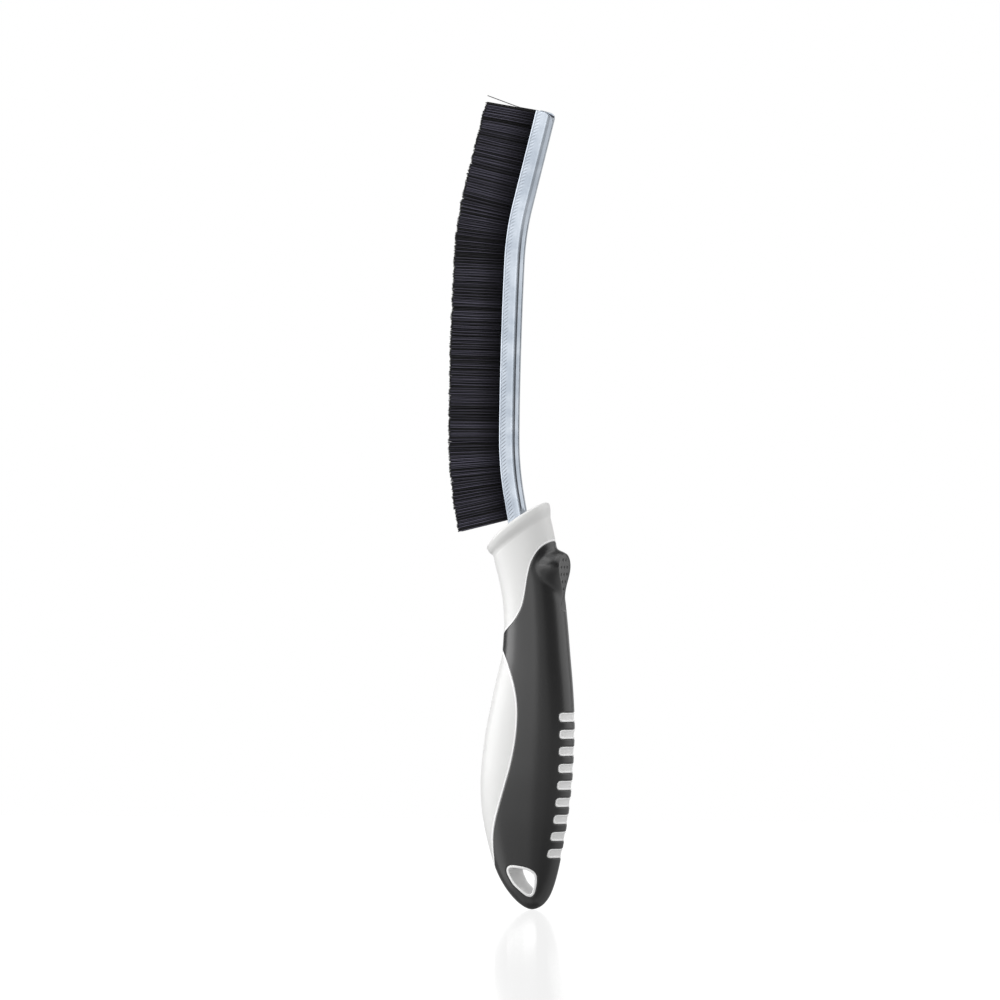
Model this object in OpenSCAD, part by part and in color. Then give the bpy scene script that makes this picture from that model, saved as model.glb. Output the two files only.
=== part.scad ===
// Grout and crevice brush: a long strip of stiff filaments held in a crimped
// metal channel, which is bent to a shallow bow and planted in a two-shot
// moulded handle of hard white plastic with a soft black grip over it.
// Millimetres. The origin is the centre of the hang hole, +Z runs up the brush
// towards its head, the filaments point to -X and the thumb rest faces +X.

/* [Brush strip] */
// Width of the metal channel, across the brush
strip_w = 6.2; // [5.6:0.1:7]
// Depth of the metal channel, from its mouth to its back
strip_depth = 6.6; // [6:0.1:7.4]
// Thickness of the channel's metal
strip_wall = 0.6; // [0.4:0.1:0.8]
// Diameter of the wire that the filaments are folded round
wire_d = 2.2; // [1.6:0.1:2.6]
// Free length of the filaments beyond the channel's mouth
trim = 18.8; // [12:0.2:24]
// Tufts along the strip
tuft_columns = 128; // [100:1:160]

/* [Bow of the strip] */
// Straight tang and root of the strip
root_length = 37; // [34:0.5:40]
// Lean of the root away from the handle's axis, in degrees
root_lean = 10.3; // [6:0.1:12]
// Radius of the bend above the handle
lower_bend_r = 115; // [90:1:140]
// Radius of the long slack bow in the middle
middle_bow_r = 1465; // [1000:5:3000]
// Radius of the bend below the tip
upper_bend_r = 97; // [80:1:120]
// Straight length at the tip
tip_length = 35.6; // [30:0.2:45]

/* [Collar] */
// Half of the rim's length, front to back
rim_half_length = 14.2; // [13.8:0.1:15.5]
// Half of the rim's width, across
rim_half_width = 10.4; // [9.8:0.1:11.5]
// Slope of the rim, in degrees
rim_slope = 33.7; // [32:0.1:35]

/* [Grip] */
// Thickness of the soft skin
skin = 2; // [1.4:0.1:2.4]
// Number of ribs across the back
rib_count = 9; // [7:1:9]
// Distance from rib to rib
rib_pitch = 6.08; // [5.4:0.02:6.2]
// Height of one rib
rib_h = 3.3; // [2.4:0.1:3.6]
// Diameter of a thumb rest dimple
dimple_d = 1.2; // [0.8:0.1:1.5]

/* [Hang hole] */
// Radius of the hole's corners, at the lining's outer edge
hole_corner_r = 2.1; // [1.9:0.05:2.4]
// Thickness of the hard lining round the hole
lining = 0.9; // [0.7:0.1:1.2]

/* [Hidden] */

// Longer than any cut needs to be
big = 80;

// The handle's stations from the rim down to the tail. Each has the front
// edge's x and z, the back edge's x and z, and half the thickness across.
// The sections tilt with the rim at the top and lie level from the belly down.
handle_stations = [
    [-14.2, 118.7, 7.2, 133.2, 9.0],
    [-13.0, 113.0, 8.6, 127.4, 9.1],
    [-11.0, 106.0, 10.2, 119.4, 9.3],
    [-9.5, 99.0, 11.7, 111.0, 9.5],
    [-9.0, 92.5, 13.0, 102.0, 9.8],
    [-9.2, 86.0, 14.2, 91.0, 10.1],
    [-9.9, 79.2, 15.1, 80.6, 10.4],
    [-12.0, 70.8, 16.0, 70.8, 10.8],
    [-14.0, 62.2, 16.6, 62.2, 11.1],
    [-15.8, 53.6, 16.9, 53.6, 11.3],
    [-17.1, 45.1, 16.6, 45.1, 11.4],
    [-17.9, 36.5, 16.1, 36.5, 11.4],
    [-17.8, 27.9, 15.2, 27.9, 11.1],
    [-16.7, 19.3, 14.0, 19.3, 10.6],
    [-14.7, 10.7, 12.4, 10.7, 9.7],
    [-12.2, 3.0, 10.8, 3.0, 8.5],
    [-9.2, -2.6, 9.2, -2.6, 7.2],
    [-6.1, -6.6, 7.5, -6.6, 5.6],
    [-3.2, -9.3, 5.3, -9.4, 3.7],
    [-0.6, -10.8, 3.0, -10.8, 1.9],
    [0.9, -11.2, 1.3, -11.2, 0.3]
];
sides = 28;
// Rings from one station to the next: the skin is drawn finer than the hidden
// body inside it
skin_rings = 2;
inner_rings = 1;
// Stations over which the inner body's tail is drawn up inside the skin
tail_stations = 4;

// The line on the handle's flank where the soft grip ends below the collar,
// from the back edge round to the front
collar_line = [
    [15, 121.6], [10.4, 120.4], [6.7, 118], [4.1, 113.7], [2.9, 109], [2.2, 104.6],
    [1.6, 100.8], [0.4, 96.6], [-2.4, 92.3], [-6, 89.2], [-9.6, 87], [-14, 85.4]
];
// The line round the white belly, from the front edge down to the tail
belly_line = [
    [-14, 82.6], [-9.6, 81.7], [-6.9, 79.3], [-4.3, 74.9], [-2, 69], [-0.7, 62.4],
    [-0.6, 55.6], [-1.4, 48.2], [-3.1, 40.4], [-5.2, 33.7], [-7.5, 27.1], [-9.5, 21.3],
    [-10.9, 16.2], [-11.5, 11.1], [-11.6, 7.4], [-12.2, 4.5], [-14.6, 2.4]
];

// Steps from one point of those lines to the next
line_steps = 2;

// The thumb rest's swelling: height, reach behind its axis and half width
thumb_x = 6.5;
thumb_stations = [
    [117.5, 2.2, 1.6], [117.0, 5.6, 4.2], [115.3, 8.5, 6.7], [112.5, 9.4, 8.0],
    [109.0, 9.1, 8.0], [106.0, 8.2, 7.6], [103.0, 7.3, 6.8], [100.5, 6.5, 5.4],
    [98.0, 5.6, 3.6]
];
// The flat pad that cuts the swelling: where it stands at mid height, and its lean
pad_x = 13.75;
pad_z = 112;
pad_lean = 6;
dimple_depth = 0.5;
// Dimples in each row from the top row down, the step from one to the next in a
// row and from row to row, and the top row's height above the pad's middle
dimple_rows = [2, 3, 3, 2, 1];
dimple_step = 3;
dimple_row_step = 2.5;
dimple_top = 1.7;

// The rim's middle, and its rolled bead as heights above the rim's middle
// plane and how far the edge is drawn in there
rim_x = -4.1;
rim_z = 125.9;
bead = [[-2.6, 1.9], [-2.1, 0.5], [-1.3, 0], [0.4, 0], [1.1, 0.35], [1.5, 1.1]];
dish = [[-0.4, 5], [0.2, 3.4], [1.0, 2.5], [2.2, 2.1]];

// The ribs across the back: the top one's height, the half width of the first
// and the last, and how deep inside the body they start
rib_top_z = 57.6;
rib_reach_top = 6.7;
rib_reach_end = 5.6;
rib_start_x = 4;

// The centres, in x and z, of the circles that the hang hole's outline is drawn
// round: its three corners, and between them the ones that bow its sides out
hole_corners = [
    [-4.1, 2.75], [-0.6, 2.45], [2, 1.85], [3.45, 0.9], [3.1, -2], [2.15, -4.75],
    [-2.28, -0.8]
];

// The strip's path: where the tang starts, then straight runs and bends
tang_x = 1.4;
tang_z = 100;
// Radius of the channel's back corners and of the corner at its free end, and
// how far its lips are crimped in
channel_corner_r = 2;
channel_end_r = 2.1;
channel_lip = 0.8;
corner_steps = 4;
// Thickness of the filaments' fold between the wire and the channel's back
filament_fold = 0.6;
wire_sides = 10;
strip_path = [
    // radius (0 for a straight run), then a length in mm or a turn in degrees
    [0, root_length],
    [lower_bend_r, 10.9],
    [middle_bow_r, 2.45],
    [upper_bend_r, 11.9],
    [0, tip_length]
];
// Degrees of bend from one ring of a swept piece to the next, and the fewest
// rings that a bend has
bend_step = 2;
bend_rings_min = 4;

// Tufts: rows across, their spacing, the thickness of a tuft, and how much the
// outer rows fan out
tuft_rows = 3;
tuft_row_pitch = 1.25;
tuft_size = 0.98;
root_fan = 0.62;
// Unevenness of the trim in mm, and of the tufts' lean in degrees
trim_scatter = 0.45;
lean_scatter = 0.25;
// Where the filaments start along the path, and how far they stop before its end
filament_start = 29.5;
filament_end_gap = 0.3;
// The packed root: how far it stands out of the mouth, and its gap to the wire
root_proud = 0.35;
root_gap = 0.05;
// Lean of the tufts towards the handle at the heel, fading over a length, and
// away from it at the tip, in degrees
heel_lean = 3;
heel_length = 16;
tip_lean = -5;

// Curves and sections

// A smooth curve through the points p, at t from 0 to the last point's number
function curve(p, t) =
    let(
        i = max(0, min(floor(t), len(p) - 2)),
        f = t - i,
        b = p[i],
        c = p[i + 1],
        a = i > 0 ? p[i - 1] : 2 * b - c,
        d = i < len(p) - 2 ? p[i + 2] : 2 * c - b
    )
    0.5 * (2 * b + (c - a) * f + (2 * a - 5 * b + 4 * c - d) * f * f
        + (3 * b - a - 3 * c + d) * f * f * f);

function reverse(p) = [for (i = [len(p) - 1 : -1 : 0]) p[i]];

function smooth_line(p, steps) =
    [for (i = [0 : (len(p) - 1) * steps]) curve(p, i / steps)];

// An ellipse across the line from front to back, drawn in by inset
function section(front, back, half_width, inset = 0) =
    let(
        middle = (front + back) / 2,
        reach = norm(back - front) / 2,
        along = (back - front) / (2 * reach),
        a = max(reach - inset, 0.1),
        b = max(half_width - inset, 0.1)
    )
    [for (j = [0 : sides - 1])
        let(q = 360 * j / sides, m = middle + along * a * cos(q))
        [m[0], b * sin(q), m[1]]];

// A closed skin over a stack of rings, each with the same even number of
// points. Each end is zipped shut, from the ring's first and last points to
// its middle ones, which also closes a channel's bent section.
module loft(rings) {
    m = len(rings[0]);
    n = len(rings);
    top = (n - 1) * m;
    polyhedron(
        points = [for (r = rings) each r],
        faces = [
            for (i = [0 : n - 2], j = [0 : m - 1])
                each let(a = i * m + j, b = i * m + (j + 1) % m)
                    [[a, b, b + m], [a, b + m, a + m]],
            for (k = [0 : m / 2 - 2])
                each [
                    [k, m - 1 - k, m - 2 - k],
                    [k, m - 2 - k, k + 1],
                    [top + k, top + m - 2 - k, top + m - 1 - k],
                    [top + k, top + k + 1, top + m - 2 - k]
                ]
        ]
    );
}

// Handle

// The whole handle, drawn in by inset all round, with the tail drawn up by it
module handle_body(inset = 0, rings = skin_rings) {
    last = len(handle_stations) - 1;
    loft([
        for (i = [0 : last * rings])
            let(
                s = curve(handle_stations, i / rings),
                lift = inset * max(0, (i / rings - last + tail_stations) / tail_stations)
            )
            section([s[0], s[1] + lift], [s[2], s[3] + lift], s[4], inset)
    ]);
}

// The part of the side view that the soft grip covers
module grip_zone() {
    outline = concat(
        [[big, collar_line[0][1]]],
        smooth_line(collar_line, line_steps),
        [[-big, collar_line[len(collar_line) - 1][1]], [-big, belly_line[0][1]]],
        smooth_line(belly_line, line_steps),
        [[-big, belly_line[len(belly_line) - 1][1]], [-big, -big], [big, -big]]
    );
    rotate([90, 0, 0])
        linear_extrude(height = big, center = true)
            polygon(outline);
}

// The hang hole's rounded triangle, cut through at the lining's outer edge or
// drawn in from it by inset
module hole_prism(inset = 0) {
    rotate([90, 0, 0])
        linear_extrude(height = big, center = true)
            hull()
                for (p = hole_corners)
                    translate(p)
                        circle(r = hole_corner_r - inset, $fn = 24);
}

// The ribs across the back, as bars that run out past the surface
module rib_bars() {
    for (i = [0 : rib_count - 1]) {
        reach = rib_reach_top + (rib_reach_end - rib_reach_top) * i / (rib_count - 1);
        translate([rib_start_x, 0, rib_top_z - rib_pitch * i])
            rotate([90, 0, 90])
                linear_extrude(height = big)
                    hull()
                        for (y = [-1, 1])
                            translate([y * (reach - rib_h / 2), 0])
                                circle(d = rib_h, $fn = 12);
    }
}

// Rings parallel to the rim, from a list of heights and insets
function rim_rings(profile) =
    let(
        along = [cos(rim_slope), sin(rim_slope)],
        up = [-sin(rim_slope), cos(rim_slope)]
    )
    [for (p = profile)
        let(c = [rim_x, rim_z] + up * p[0])
        section(
            c - along * rim_half_length,
            c + along * rim_half_length,
            rim_half_width,
            p[1]
        )];

// A skin over rings that are listed from the bottom up
module upside(rings) {
    loft(reverse(rings));
}

// What the soft skin fills: the grip's zone outside the inner body, without
// the ribs and the hang hole's lining
module skin_pocket() {
    difference() {
        grip_zone();
        handle_body(skin, inner_rings);
        rib_bars();
        hole_prism();
    }
}

module handle_core() {
    color("whitesmoke")
    difference() {
        union() {
            handle_body();
            upside(rim_rings(bead));
        }
        skin_pocket();
        upside(rim_rings(dish));
        hole_prism(lining);
        tang_socket();
    }
}

// The swelling under the thumb, cut flat by the pad
module thumb_rest() {
    difference() {
        upside([
            for (i = [(len(thumb_stations) - 1) * skin_rings : -1 : 0])
                let(s = curve(thumb_stations, i / skin_rings))
                section([thumb_x - s[1], s[0]], [thumb_x + s[1], s[0]], s[2])
        ]);
        translate([pad_x, 0, pad_z])
            rotate([0, pad_lean, 0])
                translate([0, -big / 2, -big / 2])
                    cube([big, big, big]);
    }
}

module dimples() {
    translate([pad_x, 0, pad_z])
        rotate([0, pad_lean, 0])
            for (row = [0 : len(dimple_rows) - 1], i = [0 : dimple_rows[row] - 1])
                translate([
                    -dimple_depth,
                    (i - (dimple_rows[row] - 1) / 2) * dimple_step,
                    dimple_top - row * dimple_row_step
                ])
                    rotate([0, 90, 0])
                        cylinder(d = dimple_d, h = 4 * dimple_depth, $fn = 8);
}

module grip() {
    color("dimgray")
    difference() {
        intersection() {
            union() {
                handle_body();
                thumb_rest();
            }
            skin_pocket();
        }
        dimples();
    }
}

// Strip

// Where the path stands after its first n runs: x, z and heading from +Z
function run_end(n) =
    n == 0 ? [tang_x, tang_z, -root_lean] :
    let(
        p = run_end(n - 1),
        run = strip_path[n - 1]
    )
    run[0] == 0
        ? [p[0] + run[1] * sin(p[2]), p[1] + run[1] * cos(p[2]), p[2]]
        : let(h = p[2] + run[1])
            [
                p[0] + run[0] * (cos(p[2]) - cos(h)),
                p[1] + run[0] * (sin(h) - sin(p[2])),
                h
            ];

function run_length(run) = run[0] == 0 ? run[1] : run[0] * run[1] * PI / 180;
function path_length(n) = n == 0 ? 0 : path_length(n - 1) + run_length(strip_path[n - 1]);

// The path's x, z and heading at a distance s from the tang's end
function path_at(s, n = 0) =
    let(
        from = path_length(n),
        run = strip_path[n],
        p = run_end(n)
    )
    n < len(strip_path) - 1 && s > from + run_length(run)
        ? path_at(s, n + 1)
        : run[0] == 0
            ? [p[0] + (s - from) * sin(p[2]), p[1] + (s - from) * cos(p[2]), p[2]]
            : let(h = p[2] + (s - from) / run[0] * 180 / PI)
                [
                    p[0] + run[0] * (cos(p[2]) - cos(h)),
                    p[1] + run[0] * (sin(h) - sin(p[2])),
                    h
                ];

// Places a point given as depth behind the strip's middle line, y and distance
// along the path
function on_strip(u, y, s) =
    let(p = path_at(s))
    [p[0] + u * cos(p[2]), y, p[1] - u * sin(p[2])];

// The distances along the path at which a swept piece has a ring: a straight
// run has only its ends
function path_rings() = [
    0,
    for (n = [0 : len(strip_path) - 1])
        let(
            run = strip_path[n],
            steps = run[0] == 0 ? 1 : max(bend_rings_min, ceil(run[1] / bend_step))
        )
        for (k = [1 : steps]) path_length(n) + run_length(run) * k / steps
];

// How far short of the path's end a swept piece stops at depth u, where the
// corner at its free end is rounded to radius r
function end_gap(u, r) =
    let(d = min(r, max(0, u - strip_depth / 2 + r)))
    r - sqrt(r * r - d * d);

// Carries a closed outline, given as points of depth and y, along the path
module along_path(outline, end_r = 0) {
    rings = path_rings();
    last = len(rings) - 1;
    loft([for (i = [0 : last])
        [for (q = outline)
            on_strip(q[0], q[1], rings[i] - (i == last ? end_gap(q[0], end_r) : 0))]
    ]);
}

// The arc of a back corner, in the order that an outline round the back takes
function corner(r, w, back, side) = [
    for (k = [0 : corner_steps])
        let(q = (side > 0 ? 90 : 0) - 90 * k / corner_steps)
        [back - r + r * cos(q), side * (w - r) + r * sin(q)]
];

// The channel's section: square at the mouth, round at the back, with lips
// crimped in over the filaments
function channel_outline() =
    let(
        w = strip_w / 2,
        front = -strip_depth / 2,
        back = strip_depth / 2,
        wall = strip_wall,
        r = channel_corner_r
    )
    concat(
        [[front, w], [front + 2 * wall, w]],
        corner(r, w, back, 1),
        corner(r, w, back, -1),
        [[front + 2 * wall, -w], [front, -w]],
        [[front, channel_lip + wall - w], [front + 2 * wall, wall - w]],
        reverse(corner(r - wall, w - wall, back - wall, -1)),
        reverse(corner(r - wall, w - wall, back - wall, 1)),
        [[front + 2 * wall, w - wall], [front, w - wall - channel_lip]]
    );

module brush_channel() {
    color("lightsteelblue")
        along_path(channel_outline(), channel_end_r);
}

// The wire stands off the channel's back by the fold of the filaments
wire_x = strip_depth / 2 - strip_wall - filament_fold - wire_d / 2;

module core_wire() {
    color("silver")
        along_path([
            for (k = [0 : wire_sides - 1])
                let(q = -360 * k / wire_sides)
                [wire_x + wire_d / 2 * cos(q), wire_d / 2 * sin(q)]
        ]);
}

// The socket in the handle that the tang is moulded into
module tang_socket() {
    w = strip_w / 2;
    r = channel_corner_r;
    translate([tang_x, 0, tang_z])
        rotate([0, -root_lean, 0])
            linear_extrude(height = big)
                polygon(concat(
                    [[-strip_depth / 2, w]],
                    corner(r, w, strip_depth / 2, 1),
                    corner(r, w, strip_depth / 2, -1),
                    [[-strip_depth / 2, -w]]
                ));
}

// Filaments

// How far the filaments lean along the path, in degrees, at a distance s
function lean_at(s, from, to) =
    let(
        heel = max(0, 1 - (s - from) / heel_length),
        tip = max(0, min(1, (s - path_length(3)) / (to - path_length(3))))
    )
    tip * tip_lean - heel * heel_lean;

module bristles() {
    from = filament_start;
    to = path_length(len(strip_path)) - filament_end_gap;
    pitch = (to - from) / tuft_columns;
    mouth = -strip_depth / 2 - root_proud;
    root_back = wire_x - wire_d / 2 - root_gap;
    half = tuft_rows * tuft_row_pitch / 2;
    n = tuft_columns;
    m = tuft_rows + 1;
    scatter = rands(-1, 1, n * tuft_rows * 2, 7);

    // The root's mouth face is a net of cells, with one tuft standing in each
    net = [
        for (i = [0 : n], j = [0 : m - 1])
            on_strip(mouth, (j - tuft_rows / 2) * tuft_row_pitch, from + i * pitch)
    ];
    floor_points = [
        for (i = [0 : n], side = [-1, 1])
            on_strip(root_back, side * half, from + i * pitch)
    ];
    // Each tuft is a three-sided prism: its foot's corners, then its tip's
    tufts = [
        for (i = [0 : n - 1], j = [0 : tuft_rows - 1])
            let(
                s = from + (i + 0.5) * pitch,
                y = (j + 0.5 - tuft_rows / 2) * tuft_row_pitch,
                a = scatter[2 * (i * tuft_rows + j)],
                b = scatter[2 * (i * tuft_rows + j) + 1],
                lean = lean_at(s, from, to) + lean_scatter * a,
                p = path_at(s),
                h = p[2] + lean,
                reach = trim + trim_scatter * b,
                foot = on_strip(mouth, y, s),
                run = [-cos(h), 0, sin(h)] * reach + [0, y * root_fan, 0]
            )
            for (end = [0, 1], q = [120, 240, 360])
                foot + end * run
                    + tuft_size / 2 * [sin(p[2]) * cos(q), sin(q), cos(p[2]) * cos(q)]
    ];
    net_n = len(net);
    floor_n = net_n + len(floor_points);
    function cell(i, j) = i * m + j;
    function back(i, k) = net_n + 2 * i + k;
    function tuft(i, j) = floor_n + 6 * (i * tuft_rows + j);

    color("black")
    polyhedron(
        points = concat(net, floor_points, tufts),
        faces = [
            for (i = [0 : n - 1], j = [0 : tuft_rows - 1])
                each let(
                    a = cell(i, j),
                    b = cell(i + 1, j),
                    c = cell(i + 1, j + 1),
                    d = cell(i, j + 1),
                    t = tuft(i, j)
                )
                [
                    // The cell's face round the tuft's foot
                    [a, b, t + 2], [b, t + 0, t + 2], [b, c, t + 0], [c, d, t + 0],
                    [d, t + 1, t + 0], [d, a, t + 1], [a, t + 2, t + 1],
                    // The tuft's three sides and its cut tip
                    [t, t + 3, t + 2], [t + 2, t + 3, t + 5],
                    [t + 1, t + 4, t], [t, t + 4, t + 3],
                    [t + 2, t + 5, t + 1], [t + 1, t + 5, t + 4],
                    [t + 3, t + 4, t + 5]
                ],
            for (i = [0 : n - 1])
                each [
                    [back(i, 0), back(i, 1), back(i + 1, 1)],
                    [back(i, 0), back(i + 1, 1), back(i + 1, 0)],
                    [cell(i, 0), back(i, 0), back(i + 1, 0)],
                    [cell(i, 0), back(i + 1, 0), cell(i + 1, 0)],
                    [cell(i, m - 1), back(i + 1, 1), back(i, 1)],
                    [cell(i, m - 1), cell(i + 1, m - 1), back(i + 1, 1)]
                ],
            [back(0, 0), for (j = [0 : m - 1]) cell(0, j), back(0, 1)],
            [back(n, 1), for (j = [m - 1 : -1 : 0]) cell(n, j), back(n, 0)]
        ]
    );
}

handle_core();
grip();
brush_channel();
core_wire();
bristles();
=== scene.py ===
import bmesh
import bpy
import numpy as np
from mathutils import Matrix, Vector
from mathutils.geometry import delaunay_2d_cdt, tessellate_polygon
from numpy.linalg import norm


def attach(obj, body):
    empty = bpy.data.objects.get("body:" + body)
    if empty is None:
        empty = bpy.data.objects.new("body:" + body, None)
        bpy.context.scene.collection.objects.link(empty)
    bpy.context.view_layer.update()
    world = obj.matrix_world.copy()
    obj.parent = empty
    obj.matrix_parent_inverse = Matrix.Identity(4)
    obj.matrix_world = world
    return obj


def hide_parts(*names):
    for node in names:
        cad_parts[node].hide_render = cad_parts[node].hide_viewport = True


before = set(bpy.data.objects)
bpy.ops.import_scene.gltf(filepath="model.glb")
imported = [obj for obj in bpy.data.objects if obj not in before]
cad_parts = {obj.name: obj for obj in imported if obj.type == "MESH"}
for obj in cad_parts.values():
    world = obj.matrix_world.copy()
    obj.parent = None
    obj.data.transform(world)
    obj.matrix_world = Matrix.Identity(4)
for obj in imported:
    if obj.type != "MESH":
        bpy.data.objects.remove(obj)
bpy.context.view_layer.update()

# Core wire
# The filaments are folded in half over this plain drawn wire, and the channel is closed on
# both. It runs from the tang to the tip and shows only where the channel is open.
MM = 0.001

# The strip's path in the side view: its start deep in the collar, its lean there, and then
# straight runs (radius 0, length in mm) and bends (radius in mm, turn in degrees)
TANG_X, TANG_Z = 1.2, 100.0
ROOT_LEAN = 10.3
STRIP_RUNS = [(0, 37), (115, 10.9), (1465, 2.45), (97, 11.9), (0, 34.3)]
STRIP_LENGTH = sum(r * np.radians(a) if r else a for r, a in STRIP_RUNS)

CHANNEL_DEPTH = 6.7
CHANNEL_WIDTH = 6.2
WALL = 0.6
FOLD = 0.6
WIRE_R = 1.1
WIRE_U = CHANNEL_DEPTH / 2 - WALL - FOLD - WIRE_R


def move_on(x, z, heading, radius, d):
    """The place and heading a way d further on. Straight on, at radius 0, the place moves by
    d times the heading's sine and cosine. Over a bend of radius r the heading grows by d / r,
    and the place moves by r times the change of its cosine and sine."""
    if not radius:
        return x + d * np.sin(heading), z + d * np.cos(heading), heading + 0 * d
    turned = heading + d / radius
    return (x + radius * (np.cos(heading) - np.cos(turned)),
            z + radius * (np.sin(turned) - np.sin(heading)), turned)


def strip_path(s):
    """The straight runs and bends laid end to end: x, z and heading (radians from +Z) at
    distances s."""
    s = np.asarray(s, float)
    at = TANG_X, TANG_Z, -np.radians(ROOT_LEAN)
    found = np.zeros((3, *s.shape))
    start = 0.0
    for radius, amount in STRIP_RUNS:
        found = np.where(s >= start, move_on(*at, radius, s - start), found)
        length = radius * np.radians(amount) if radius else amount
        at = move_on(*at, radius, length)
        start += length
    return found


def on_strip(u, y, s):
    """A point u behind the strip's middle line and y across it, at distance s: the path's
    place plus u along the normal (cos h, -sin h) in the side view."""
    x, z, h = strip_path(s)
    return np.stack(np.broadcast_arrays(x + u * np.cos(h), y, z - u * np.sin(h)), -1)


def grid_faces(n, m, closed=True):
    """Quads between n rings of m points each, numbered ring by ring; a closed ring's last
    point joins its first."""
    i, j = np.meshgrid(np.arange(n - 1), np.arange(m if closed else m - 1), indexing="ij")
    k = (j + 1) % m
    return np.stack([i * m + j, i * m + k, (i + 1) * m + k, (i + 1) * m + j], -1).reshape(-1, 4)


def linear(hex_colour):
    """An sRGB hex value as linear RGBA: c / 12.92 below 0.04045, else
    ((c + 0.055) / 1.055) ** 2.4."""
    c = np.array([int(hex_colour[i:i + 2], 16) for i in (1, 3, 5)]) / 255
    return (*np.where(c <= 0.04045, c / 12.92, ((c + 0.055) / 1.055) ** 2.4).tolist(), 1.0)


def add_node(owner, kind, links=None, **settings):
    """One shader node in a material or a world. A setting names an attribute of the node or
    one of its sockets, and links names a socket and the output that feeds it."""
    node = owner.node_tree.nodes.new(kind)
    for name, value in settings.items():
        if hasattr(node, name):
            setattr(node, name, value)
        else:
            node.inputs[name.replace("_", " ")].default_value = value
    for socket, output in (links or {}).items():
        owner.node_tree.links.new(output, node.inputs[socket])
    return node


def new_material(name, **settings):
    """A material with a Principled shader, and that shader."""
    material = bpy.data.materials.new(name)
    material.use_nodes = True
    shader = material.node_tree.nodes["Principled BSDF"]
    for socket, value in settings.items():
        shader.inputs[socket.replace("_", " ")].default_value = value
    return material, shader


def add_piece(name, points, faces, material, solid, values=None, replaces=True):
    """A mesh from points in mm and arrays of faces, smooth shaded, riding on the brush. It
    replaces a solid or only adds to it. values is a number for each point, kept as the
    attribute shade."""
    mesh = bpy.data.meshes.new(name)
    points = np.asarray(points, np.float32).reshape(-1, 3) * MM
    mesh.vertices.add(len(points))
    mesh.vertices.foreach_set("co", points.ravel())
    corners = np.hstack([np.asarray(f).ravel() for f in faces])
    sizes = np.hstack([np.full(len(f), f.shape[1]) for f in faces])
    mesh.loops.add(len(corners))
    mesh.loops.foreach_set("vertex_index", corners.astype(np.int32))
    mesh.polygons.add(len(sizes))
    starts = np.hstack([0, np.cumsum(sizes)[:-1]]).astype(np.int32)
    mesh.polygons.foreach_set("loop_start", starts)
    mesh.polygons.foreach_set("use_smooth", np.ones(len(sizes), bool))
    if values is not None:
        shade = mesh.attributes.new("shade", "FLOAT", "POINT")
        shade.data.foreach_set("value", np.asarray(values, np.float32))
    mesh.update(calc_edges=True)
    mesh.validate()
    mesh.materials.append(material)
    piece = bpy.data.objects.new(name, mesh)
    bpy.context.scene.collection.objects.link(piece)
    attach(piece, "root")
    if replaces:
        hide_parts(solid)
    return piece


# Drawn steel wire, bare: a mid grey metal that the die leaves with a dull shine.
wire_steel, _ = new_material(
    "drawn_steel_wire", Base_Color=linear("#8C9096"), Metallic=1.0, Roughness=0.38
)

WIRE_SIDES, WIRE_RINGS = 24, 160
WIRE_SHORT = 1.5
s = np.linspace(0, STRIP_LENGTH - WIRE_SHORT, WIRE_RINGS)
q = 2 * np.pi * np.arange(WIRE_SIDES) / WIRE_SIDES
ring = on_strip(WIRE_U + WIRE_R * np.cos(q), WIRE_R * np.sin(q), s[:, None])
n, m = ring.shape[:2]
ends = [np.arange(m)[::-1][None, :], (n - 1) * m + np.arange(m)[None, :]]
add_piece("folding_wire", ring, [grid_faces(n, m), *ends], wire_steel, "core_wire")

# Filaments
# Black nylon, 0.38 mm thick, folded in half over the wire and trimmed to one length. The
# lips of the channel squeeze them to a narrow pack, from which they fan out a little.
TRIM = 19.3
FILAMENT_R = 0.19
FILAMENT_SIDES = 4
FILAMENT_START = 29.5
FILAMENT_END = STRIP_LENGTH - 0.3
ALONG_PITCH = 0.5
ROWS = 9
ROOT_HALF = 1.5
FAN = 0.62
HEEL_LEAN, HEEL_LENGTH = -3.0, 16.0
TIP_LEAN, TIP_LENGTH = -5.0, 34.3
MOUTH_U = -CHANNEL_DEPTH / 2
FOOT_IN = 1.2

# Where the rings of a filament stand, as shares of its length, and how much of its tone each
# shows: painted shade darkens it in the mouth, and it is darker at its cut end
FILAMENT_RINGS = np.array([0, 0.5, 0.95, 0.97, 1.0])
RING_TONES = [0.2, 1, 1, 0.1, 0]

# How filaments stray from their places: each by itself, and together by a wander that changes
# every so many mm along the strip. Places are shares of the pitch, leans degrees, the rest mm.
PLACE_SCATTER, ACROSS_SCATTER, BOW_SCATTER = 0.2, 0.05, 0.1
LEAN_WANDER, LEAN_STEP, LEAN_SCATTER, LEAN_SKEW = 0.4, 2.3, 0.16, 0.9
LENGTH_WANDER, LENGTH_STEP, LENGTH_SCATTER = 0.2, 1.3, 0.1
# Painted highlights: how they wander and scatter along the strip, and their strength on every
# other filament and the rest
HIGHLIGHT_WANDER, HIGHLIGHT_STEP, HIGHLIGHT_SCATTER = 0.3, 1.6, 0.16
HIGHLIGHT_EVEN, HIGHLIGHT_ODD = 0.6, 0.1
random = np.random.default_rng(11)


def wander(s, step):
    """Smooth noise along the strip: random values every step mm with cosine easing between."""
    knots = random.uniform(-1, 1, int(STRIP_LENGTH / step) + 3)
    i = np.floor(s / step).astype(int)
    f = (1 - np.cos(np.pi * (s / step - i))) / 2
    return knots[i] * (1 - f) + knots[i + 1] * f


def filament_lean(s):
    """Lean of the filaments from square, in degrees: towards the handle at the heel, fading
    over its length, and away from it along the straight tip."""
    heel = np.clip(1 - (s - FILAMENT_START) / HEEL_LENGTH, 0, 1)
    tip = np.clip((s - STRIP_LENGTH + TIP_LENGTH) / TIP_LENGTH, 0, 1)
    return heel * HEEL_LEAN + tip * TIP_LEAN


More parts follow.
